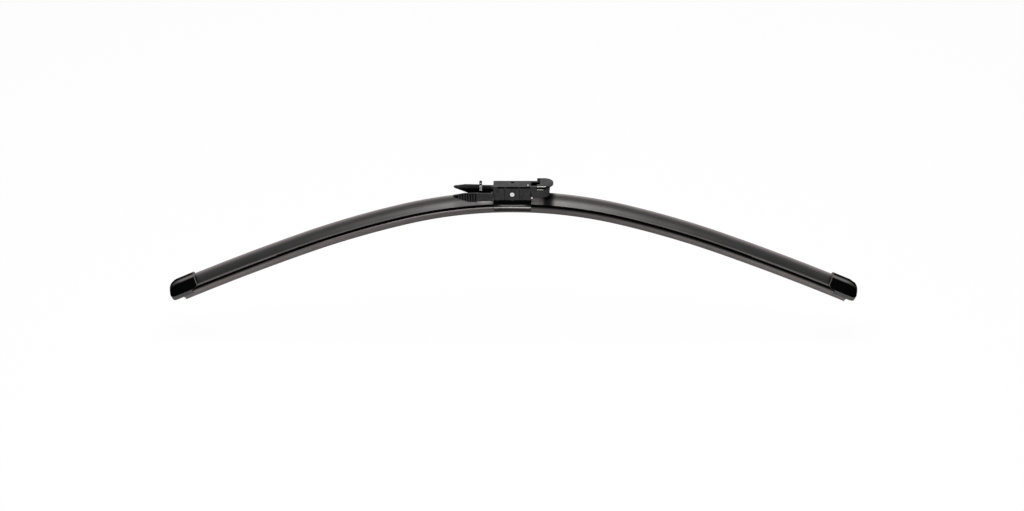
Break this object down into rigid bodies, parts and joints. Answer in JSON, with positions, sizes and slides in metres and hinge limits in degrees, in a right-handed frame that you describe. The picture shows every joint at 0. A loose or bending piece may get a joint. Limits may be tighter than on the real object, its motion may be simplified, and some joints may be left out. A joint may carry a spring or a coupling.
{
  "type": "flat windscreen wiper blade",
  "caption": "Flat windscreen wiper blade: bowed rubber on spring rails under a split spoiler, with end caps, a pivoting arm connector and release levers.",
  "frame": {"origin": "on the connector's flat top, where the arm sits, straight above the pivot pin's axis", "axes": "+X along the blade towards the connector's head, +Z away from the glass, -Y the side that faces the camera"},
  "size_m": [0.6562, 0.0226, 0.1256],
  "materials": {
    "moulding": "fine grained black moulding",
    "spoiler": "soft satin dark grey extrusion",
    "cap": "glossy black moulding",
    "rubber": "matt dark grey with fine streaks along it",
    "rail": "rolled spring steel",
    "bracket": "black coated steel sheet",
    "pin": "turned steel"
  },
  "bodies": {
    "connector": {"connector_body": "moulding"},
    "front_lever": {"front_release_lever": "moulding"},
    "rear_lever": {"rear_release_lever": "moulding"},
    "blade": {"pivot_pin": "pin", "centre_bracket": "bracket", "front_rail": "rail", "rear_rail": "rail", "wiper_rubber": "rubber", "left_spoiler": "spoiler", "right_spoiler": "spoiler", "left_end_cap": "cap", "right_end_cap": "cap"}
  },
  "joints": [
    {"name": "blade_tilt", "type": "hinge", "parent": "connector", "child": "blade", "pos_m": [0, 0, -0.0072], "axis": [0, 1, 0], "range_deg": [-7, 7]},
    {"name": "front_lever_pinch", "type": "hinge", "parent": "connector", "child": "front_lever", "pos_m": [-0.0155, -0.0056, -0.0072], "axis": [0, 0, -1], "range_deg": [0, 2], "stiffness_Nm_per_rad": 3},
    {"name": "rear_lever_pinch", "type": "hinge", "parent": "connector", "child": "rear_lever", "pos_m": [-0.0155, 0.0056, -0.0072], "axis": [0, 0, 1], "range_deg": [0, 2], "stiffness_Nm_per_rad": 3}
  ]
}
